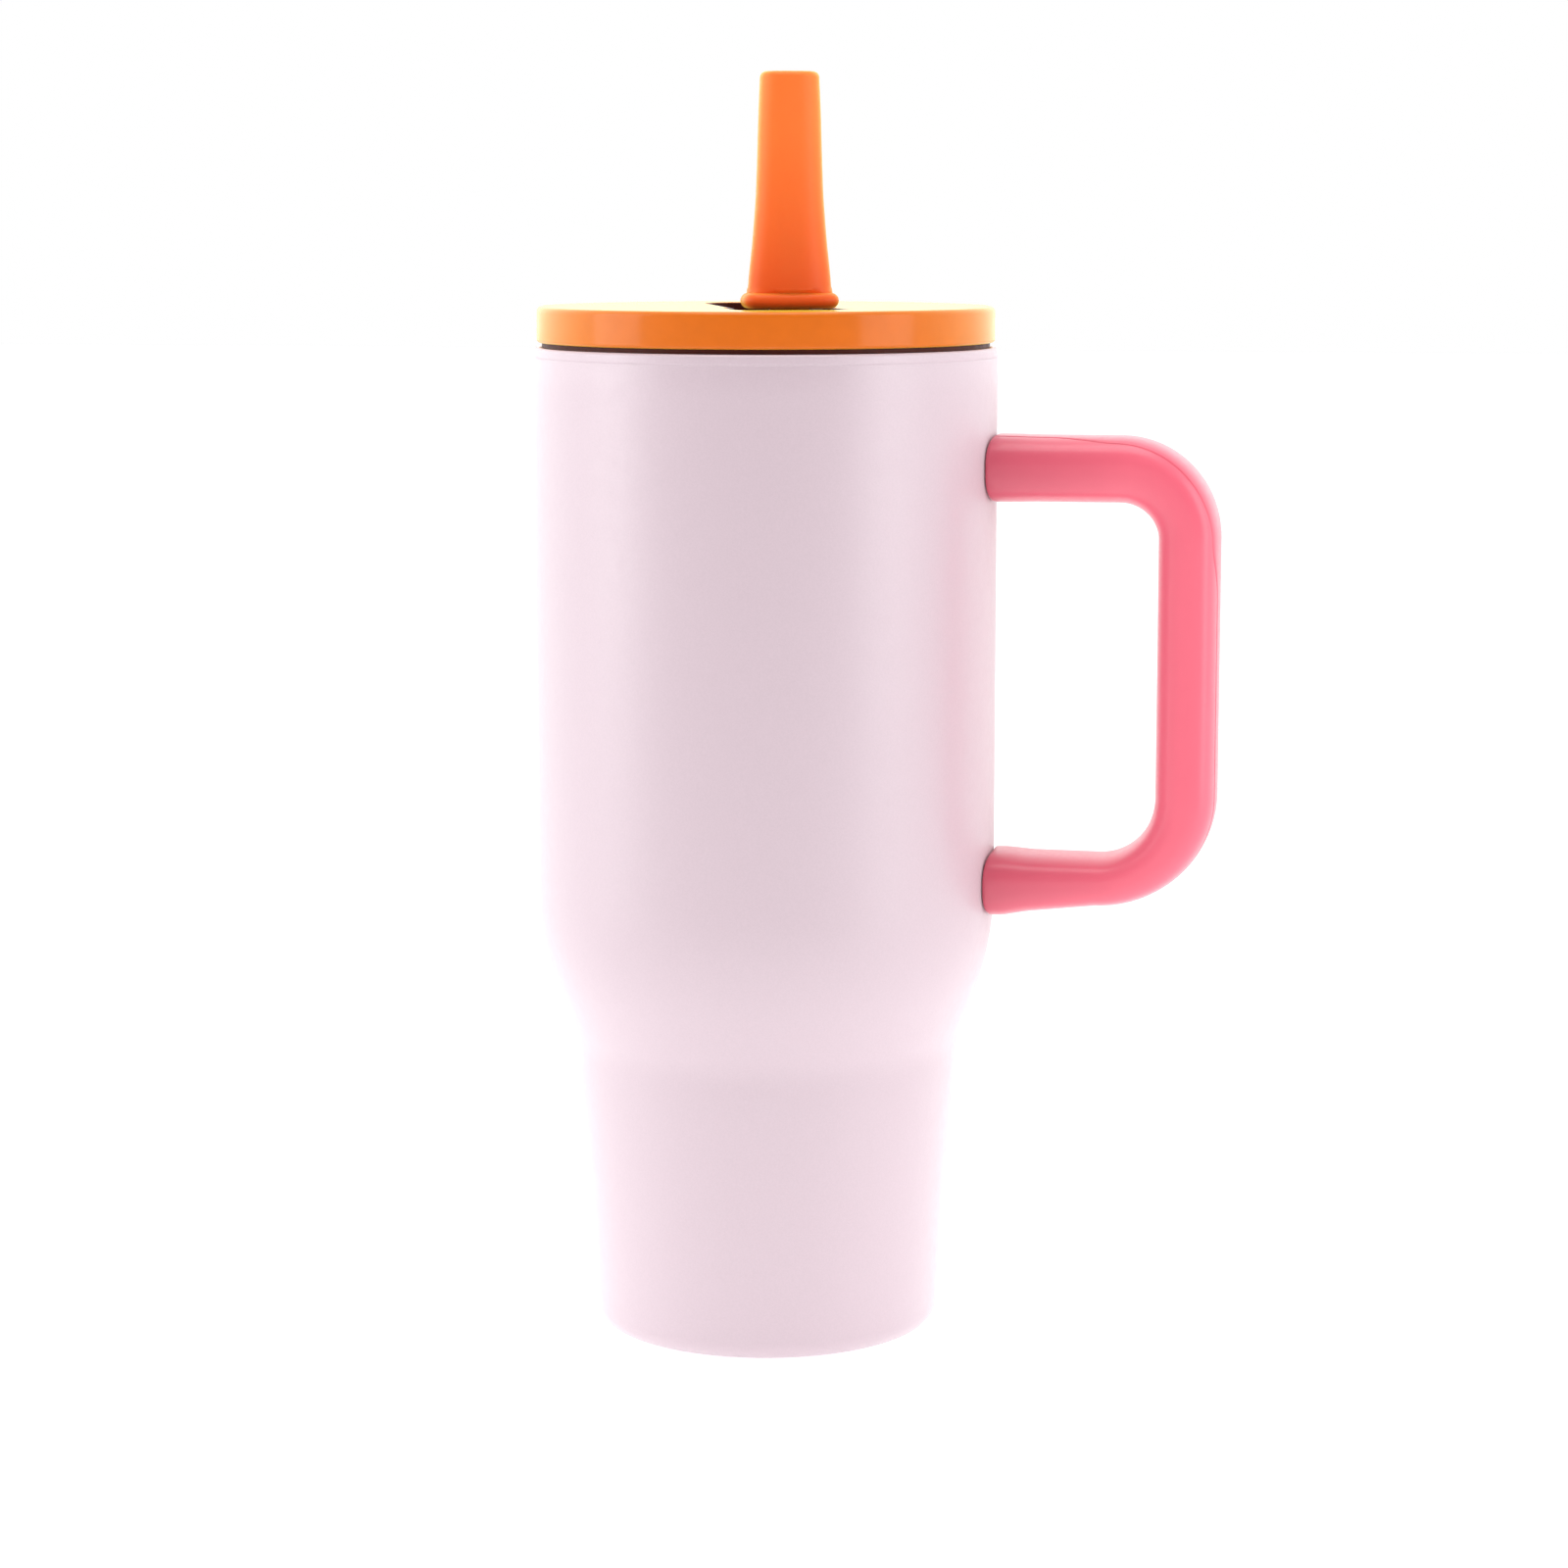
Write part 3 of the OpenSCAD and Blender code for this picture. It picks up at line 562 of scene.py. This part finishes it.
def stations():
    s = []
    n = 22
    for i in range(n + 1):
        t = i / n
        s.append((mix(ROOT_X, GRIP_X - CORNER_TOP, t), ARM_TOP_Z, 0, 1, ARM_TOP_T + 0.15 * (1 - ease(min(1, 3 * t))), GRIP_W, mix(CREASE_V, CREASE_OUT - 0.06, ease(max(0, 1.5 * t - 0.5)))))
    n = 26
    for i in range(1, n):
        t = i / n
        a = math.radians(90 - 90 * t)
        s.append((GRIP_X - CORNER_TOP + CORNER_TOP * math.cos(a), ARM_TOP_Z - CORNER_TOP + CORNER_TOP * math.sin(a),
                  math.cos(a), math.sin(a), mix(ARM_TOP_T, GRIP_T, ease(t)), GRIP_W, CREASE_OUT - 0.06 + 0.06 * math.sin(math.pi * t)))
    n = 32
    for i in range(n + 1):
        t = i / n
        s.append((GRIP_X, mix(ARM_TOP_Z - CORNER_TOP, ARM_LOW_Z + CORNER_LOW, t), 1, 0, GRIP_T, GRIP_W - 0.3 * math.sin(math.pi * t), mix(CREASE_OUT - 0.06, CREASE_V, ease(min(1, 4.5 * t)))))
    n = 28
    for i in range(1, n):
        t = i / n
        a = -math.radians(90 * t)
        s.append((GRIP_X - CORNER_LOW + CORNER_LOW * math.cos(a), ARM_LOW_Z + CORNER_LOW + CORNER_LOW * math.sin(a),
                  math.cos(a), math.sin(a), mix(GRIP_T, ARM_LOW_T, ease(t)), GRIP_W, CREASE_V))
    n = 20
    for i in range(n + 1):
        t = i / n
        s.append((mix(GRIP_X - CORNER_LOW, ROOT_X, t), mix(ARM_LOW_Z, ARM_LOW_Z - 1, t), 0, -1,
                  mix(ARM_LOW_T, 6.6, t) + 0.4 * ease(max(0, 3 * t - 2)), GRIP_W, CREASE_V))
    return s


SQUARE = 0.66         # below 1 the section is a rounded oblong, at 1 an ellipse
CREASE_V = 0.46       # where the creases run, as a part of the half width
CREASE_OUT = 0.82     # the same at the upper corner, where they swing outward
CREASE_W, CREASE_D = 0.27, 0.75


def outline_point(a, b, ang):
    return pw(math.cos(ang), SQUARE) * a, pw(math.sin(ang), SQUARE) * b


def section_angles(n):
    """Angles that space points evenly along the handle's section, split where the two creases run."""
    m = 7200
    pts = [outline_point(GRIP_T, GRIP_W, 2 * math.pi * i / m) for i in range(m + 1)]
    acc = [0.0]
    for a, b in zip(pts, pts[1:]):
        acc.append(acc[-1] + math.hypot(b[0] - a[0], b[1] - a[1]))
    out, k = [], 0
    for j in range(n):
        want = acc[-1] * (j + 0.5) / n
        while acc[k + 1] < want:
            k += 1
        out.append(2 * math.pi * (k + (want - acc[k]) / (acc[k + 1] - acc[k])) / m)
    return out


def section_plan():
    """Where the points of every ring lie: angles on the inner half, parts of the half width on the outer half, with finer steps across each crease. One list serves all rings, so that they match."""
    plan = []
    for q in section_angles(80):
        u, v = outline_point(1.0, 1.0, q)
        if u <= 0:
            plan.append((math.atan2(v, u), q, v, 0.0, 0.0))
        elif abs(abs(v) - CREASE_V) * GRIP_W > 1.9 * CREASE_W:
            plan.append((math.atan2(v, u), None, v, 0.0, 0.0))
    for sign in (-1, 1):
        for dv, deep in ((-1.6, 0.0), (-1.0, 0.12), (-0.45, 0.85), (0.0, 1.0), (0.45, 0.85), (1.0, 0.12), (1.6, 0.0)):
            plan.append((math.atan2(sign * CREASE_V + dv * CREASE_W / GRIP_W, crease_height(CREASE_V)), None, sign * CREASE_V, dv, deep))
    plan.sort(key=lambda p: p[0])
    return plan


def crease_height(k):
    return max(0.0, 1 - abs(k) ** (2 / SQUARE)) ** (SQUARE / 2)


PLAN = section_plan()


def section(s, d, seam):
    """Points (outward, across) of the handle's section at one station; seam scales the two creases on its outer face, s[6] is where they run."""
    a, b, place = s[4] - d, s[5] - d, s[6]
    out = []
    for _, q, k, dv, deep in PLAN:
        if q is not None:
            out.append(outline_point(a, b, q))
            continue
        m = abs(k)
        m = m * place / CREASE_V if m <= CREASE_V else 1 - (1 - m) * (1 - place) / (1 - CREASE_V)
        k = math.copysign(m, k) + dv * CREASE_W / GRIP_W
        out.append((a * crease_height(k) - deep * seam * CREASE_D, b * k))
    return out


def ring(s, d, seam=0.0, on=None):
    pts = []
    for u, v in section(s, d, seam):
        x, z = s[0] + s[2] * u, s[1] + s[3] * u
        if on is not None:
            x = math.sqrt(on * on - v * v)
        pts.append((x, v, z))
    return pts


def make_grip():
    st = stations()
    a, b = st[0], st[-1]
    r0 = CUP_R + 0.12
    outer = [ring(a, 1.1, 0, r0), ring(a, 0.62, 0, r0 + 0.04), ring(a, 0.28, 0, r0 + 0.22), ring(a, 0.08, 0, r0 + 0.5), ring(a, 0.0, 0.3, r0 + 0.95)]
    outer += [ring(s, 0.0, 1.0) for s in st]
    outer += [ring(b, 0.0, 0.3, r0 + 0.95), ring(b, 0.08, 0, r0 + 0.5), ring(b, 0.28, 0, r0 + 0.22), ring(b, 0.62, 0, r0 + 0.04), ring(b, 1.1, 0, r0)]
    inner = [ring(b, SKIN, 0, r0)] + [ring(s, SKIN) for s in st[::-1]] + [ring(a, SKIN, 0, r0)]
    return loft("handle_grip_soft", outer + inner, M["grip"], sharp=38, loop=True)


grip = make_grip()

# ------------------------------------------------------------------ lid
LIP_T = 1.0
SLOT = [(-11, -SPOUT_Y - 6.5, 1.6), (11, -SPOUT_Y - 6.5, 1.6), (11, -16.4, 1.4), (9.6, -15, 1.4),
        (7.3, 34.6, 6.8), (-7.3, 34.6, 6.8), (-9.6, -15, 1.4), (-11, -16.4, 1.4)]


def make_cap():
    rt, rb = 1.15, 0.7
    prof = [(0, LID_TOP), (20, LID_TOP), (40, LID_TOP)]
    prof += [(LID_R - rt + rt * math.sin(a), LID_TOP - rt + rt * math.cos(a)) for a in (math.radians(9 * i) for i in range(11))]
    prof += [(LID_R - rb + rb * math.cos(a), BAND_Z + rb - rb * math.sin(a)) for a in (math.radians(10 * i) for i in range(10))]
    prof += [(LID_R - 1.8, BAND_Z), (LID_R - 2.0, BAND_Z + 0.2), (LID_R - 2.0, LID_TOP - 2.1), (LID_R - 2.3, LID_TOP - 1.8), (20, LID_TOP - 1.8), (0, LID_TOP - 1.8)]
    cap = lathe("lid_cap_orange", prof, M["cap"], seg=192)
    # cutter that flares at the top, so that the slot has a rounded edge
    hole = LIP_T + 0.08
    rings = [[(x, y, LID_TOP - 3) for x, y in ring_outline(SLOT, hole)]]
    rr = 0.45
    for i in range(7):
        a = math.radians(15 * i)
        o = hole + rr - rr * math.cos(a)
        rings.append([(x, y, LID_TOP - rr + rr * math.sin(a)) for x, y in ring_outline(SLOT, o)])
    rings.append([(x, y, LID_TOP + 1.0) for x, y in ring_outline(SLOT, hole + rr)])
    cutter = loft("slot_cutter", rings, None, turned=True)
    return boolean(cap, [cutter], sharp=28)


def make_gasket():
    r0, r1, r2 = PLUG_R - 1.25, PLUG_R + 0.1, MOUTH_R - 0.15
    prof = [(r0, 207.35), (r0 + 0.2, 207.15), (r1 - 0.2, 207.15), (r1, 207.25), (r2 - 0.1, 207.62), (r2, 207.78), (r2 - 0.04, 207.98), (r2 - 0.15, 208.1),
            (r1 + 0.08, 208.42), (r1, 208.6), (r1, 209.2), (r1 + 0.08, 209.4), (r2 - 0.1, 209.82), (r2, 209.98), (r2 - 0.04, 210.18), (r2 - 0.15, 210.3),
            (r1, 210.95), (r1 - 0.2, 211.05), (r0 + 0.2, 211.05), (r0, 210.85)]
    return lathe("lid_gasket_ring", prof, M["gasket"], seg=160, sharp=60)


cap = make_cap()
gasket_ring = make_gasket()


# ------------------------------------------------------------------ mouthpiece
def super_ring(a, b, n, z, m=96):
    pts = []
    for j in range(m):
        t = 2 * math.pi * j / m
        c, s = math.cos(t) * a, math.sin(t) * b
        k = (abs(c / a) ** n + abs(s / b) ** n) ** (-1 / n)
        pts.append((c * k, s * k - SPOUT_Y, z))
    return pts


def make_mouthpiece():
    z0 = PIVOT_Z + 6.2
    ca, cb, cr = 10.1, 5.75, 1.65
    top = TIP_Z
    # rounded flange at the foot
    rings = []
    for i in range(1, 12):
        a = math.radians(-90 + 180 * i / 12)
        d = cr - cr * math.cos(a)
        rings.append(super_ring(ca - d, cb - d, 4.0, z0 + cr + cr * math.sin(a)))
    # body of the spout: height above the foot, half width, half depth
    body = [(3.9, 8.95, 5.35), (4.6, 8.72, 5.28), (6.0, 8.62, 5.26), (8, 8.42, 5.25), (10.5, 8.15, 5.22), (13, 7.86, 5.2), (15.5, 7.64, 5.18), (18, 7.44, 5.16),
            (20.5, 7.24, 5.14), (23, 7.06, 5.12), (25.5, 6.94, 5.1), (28, 6.85, 5.08), (32, 6.72, 5.05), (36, 6.6, 5.02), (40, 6.48, 5.0), (43, 6.36, 5.0)]
    for h, a, b in body:
        rings.append(super_ring(a, b, 2.35, z0 + h))
    r = 1.3
    for i in range(9):
        t = math.radians(90 * i / 8)
        d = r - r * math.cos(t)
        rings.append(super_ring(TIP_W - d, TIP_D - d, 2.3, top - r + r * math.sin(t)))

    def circ(rad, z, m=96):
        return [(rad * math.cos(2 * math.pi * j / m), rad * math.sin(2 * math.pi * j / m) - SPOUT_Y, z) for j in range(m)]
    rings += [circ(CHANNEL_R + 0.25, top - 0.02), circ(CHANNEL_R + 0.06, top - 0.15), circ(CHANNEL_R, top - 0.4), circ(CHANNEL_R, z0 + 26), circ(CHANNEL_R, z0 + 14.0),
              circ(CHANNEL_R + 1.03, z0 + 14.0), circ(CHANNEL_R + 1.03, z0 + 6), circ(CHANNEL_R + 1.03, z0 + 0.25), circ(CHANNEL_R + 1.2, z0)]
    return loft("mouthpiece_soft", rings, M["mouth"], sharp=40, turned=True, loop=True)


mouth = make_mouthpiece()

# ------------------------------------------------------------------ who rides on what
for ob, body, node, slot in ((shell, "cup", "outer_shell", "shell_powder_coat"), (liner, "cup", "inner_liner", "liner_steel"), (base, "cup", "base_plate", "base_steel"),
                       (grip, "cup", "handle_grip", "grip_soft"), (cap, "lid", "lid_cap", "cap_plastic"), (gasket_ring, "gasket_ring", "lid_gasket", "gasket_silicone"),
                       (mouth, "spout", "mouthpiece", "mouth_silicone")):
    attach(ob, body)
    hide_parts(node)

# ------------------------------------------------------------------ stage, light, camera
AZ = math.radians(10.0)
RIGHT = Vector((math.cos(AZ), math.sin(AZ), 0))
AWAY = Vector((-math.sin(AZ), math.cos(AZ), 0))


def make_floor():
    me = bpy.data.meshes.new("floor")
    s = 6.0
    me.from_pydata([(-s, -s, 0), (s, -s, 0), (s, s, 0), (-s, s, 0)], [], [[0, 1, 2, 3]])
    ob = bpy.data.objects.new("floor", me)
    bpy.context.scene.collection.objects.link(ob)
    m = Mat("floor_white", (0.74, 0.74, 0.74, 1), 0.7)
    m.vary_color(m.noise(3, 2), 0.004)
    m.set(Emission_Color=(1.0, 1.0, 1.0, 1.0), Specular_IOR_Level=0.2)
    # painted light: the floor glows most in a pool round the object (strength 0.66 within 5 cm, falling to 0.32 past 42
    # cm), which brightens the cup's lower body; far off it glows evenly so the backdrop reads white
    far = m.node("ShaderNodeVectorMath")
    far.operation = "LENGTH"
    m.link(m.co, far.inputs[0])
    painted_glow_pool = m.node("ShaderNodeMapRange")
    painted_glow_pool.interpolation_type = "SMOOTHSTEP"
    painted_glow_pool.inputs["From Min"].default_value = 0.05
    painted_glow_pool.inputs["From Max"].default_value = 0.42
    painted_glow_pool.inputs["To Min"].default_value = 0.66
    painted_glow_pool.inputs["To Max"].default_value = 0.32
    m.link(far.outputs["Value"], painted_glow_pool.inputs["Value"])
    m.link(painted_glow_pool.outputs["Result"], m.s.inputs["Emission Strength"])
    me.materials.append(m.m)
    return ob


make_floor()


def area(name, right, away, z, w, h, power, target=(0, 0, 0.13)):
    ld = bpy.data.lights.new(name, "AREA")
    ld.shape = "RECTANGLE"
    ld.size, ld.size_y, ld.energy = w, h, power
    ob = bpy.data.objects.new(name, ld)
    bpy.context.scene.collection.objects.link(ob)
    ob.location = RIGHT * right + AWAY * away + Vector((0, 0, z))
    ob.rotation_euler = (Vector(target) - ob.location).to_track_quat("-Z", "Y").to_euler()
    ob.visible_camera = False
    return ob


area("side_left", -0.92, -0.20, 0.36, 0.5, 0.9, 2.6)
area("side_right", 0.82, -0.45, 0.36, 0.5, 0.9, 2.6)
area("overhead", 0.0, -0.15, 1.15, 0.8, 0.8, 4.0, target=(0, -0.15, 0))


def make_world():
    """A white studio: bright walls at the sides and behind, dimmer on the side that the camera stands on. The backdrop itself is plain white."""
    world = bpy.data.worlds.new("studio")
    bpy.context.scene.world = world
    world.use_nodes = True
    t = world.node_tree
    t.nodes.clear()

    def node(kind, **kw):
        n = t.nodes.new(kind)
        for k, v in kw.items():
            setattr(n, k, v)
        return n

    def dot(v):
        n = node("ShaderNodeVectorMath", operation="DOT_PRODUCT")
        t.links.new(tc.outputs["Generated"], n.inputs[0])
        n.inputs[1].default_value = v
        return n.outputs["Value"]
    tc = node("ShaderNodeTexCoord")
    front = node("ShaderNodeMapRange")
    front.inputs["From Min"].default_value = -1.0
    front.inputs["From Max"].default_value = 1.0
    t.links.new(dot(tuple(-AWAY)), front.inputs["Value"])
    ramp = node("ShaderNodeValToRGB")
    ramp.color_ramp.interpolation = "B_SPLINE"
    e = ramp.color_ramp.elements
    top = max(WORLD)
    e[0].position, e[0].color = 0.0, (WORLD[0] / top,) * 3 + (1,)
    e[1].position, e[1].color = 1.0, (WORLD[4] / top,) * 3 + (1,)
    for pos, val in ((0.3, WORLD[1] / top), (0.55, WORLD[2] / top), (0.8, WORLD[3] / top)):
        n = e.new(pos)
        n.color = (val, val, val, 1)
    t.links.new(front.outputs["Result"], ramp.inputs["Fac"])
    side = node("ShaderNodeMath", operation="MULTIPLY_ADD")
    t.links.new(dot(tuple(-RIGHT)), side.inputs[0])
    side.inputs[1].default_value = LEFT_BIAS
    side.inputs[2].default_value = 1.0
    up = dot((0.0, 0.0, 1.0))
    high = node("ShaderNodeMath", operation="MULTIPLY")
    t.links.new(up, high.inputs[0])
    t.links.new(up, high.inputs[1])
    flat = node("ShaderNodeMath", operation="MULTIPLY_ADD")
    t.links.new(high.outputs[0], flat.inputs[0])
    flat.inputs[1].default_value = -HIGH_DIM * top
    flat.inputs[2].default_value = top
    both = node("ShaderNodeMath", operation="MULTIPLY")
    t.links.new(flat.outputs[0], both.inputs[0])
    t.links.new(side.outputs[0], both.inputs[1])
    power = node("ShaderNodeMath", operation="MULTIPLY")
    t.links.new(ramp.outputs["Color"], power.inputs[0])
    t.links.new(both.outputs[0], power.inputs[1])
    light = node("ShaderNodeBackground")
    t.links.new(power.outputs[0], light.inputs["Strength"])
    white = node("ShaderNodeBackground")
    for n in (light, white):
        n.inputs["Color"].default_value = (1.0, 1.0, 1.0, 1.0)
    path = node("ShaderNodeLightPath")
    pick = node("ShaderNodeMixShader")
    out = node("ShaderNodeOutputWorld")
    t.links.new(path.outputs["Is Camera Ray"], pick.inputs[0])
    t.links.new(light.outputs[0], pick.inputs[1])
    t.links.new(white.outputs[0], pick.inputs[2])
    t.links.new(pick.outputs[0], out.inputs["Surface"])


WORLD = (1.65, 1.75, 1.56, 0.65, 0.20)     # from behind the object round to the camera
LEFT_BIAS = 0.08
HIGH_DIM = 0.40                          # how much dimmer the ceiling is than the walls
make_world()

cam_data = bpy.data.cameras.new("camera")
cam = bpy.data.objects.new("camera", cam_data)
bpy.context.scene.collection.objects.link(cam)
cam_data.sensor_width = 36.0
cam_data.lens = 90.92
cam_data.clip_start, cam_data.clip_end = 0.05, 60.0
PITCH = math.radians(8.27)
look = (AWAY * math.cos(PITCH) - Vector((0, 0, math.sin(PITCH)))).normalized()
cam.location = -AWAY * 0.8597 + RIGHT * 0.0039 + Vector((0, 0, 0.2449))
cam.rotation_euler = look.to_track_quat("-Z", "Y").to_euler()
bpy.context.scene.camera = cam

bpy.context.scene.view_settings.view_transform = "Standard"
bpy.context.scene.view_settings.look = "None"
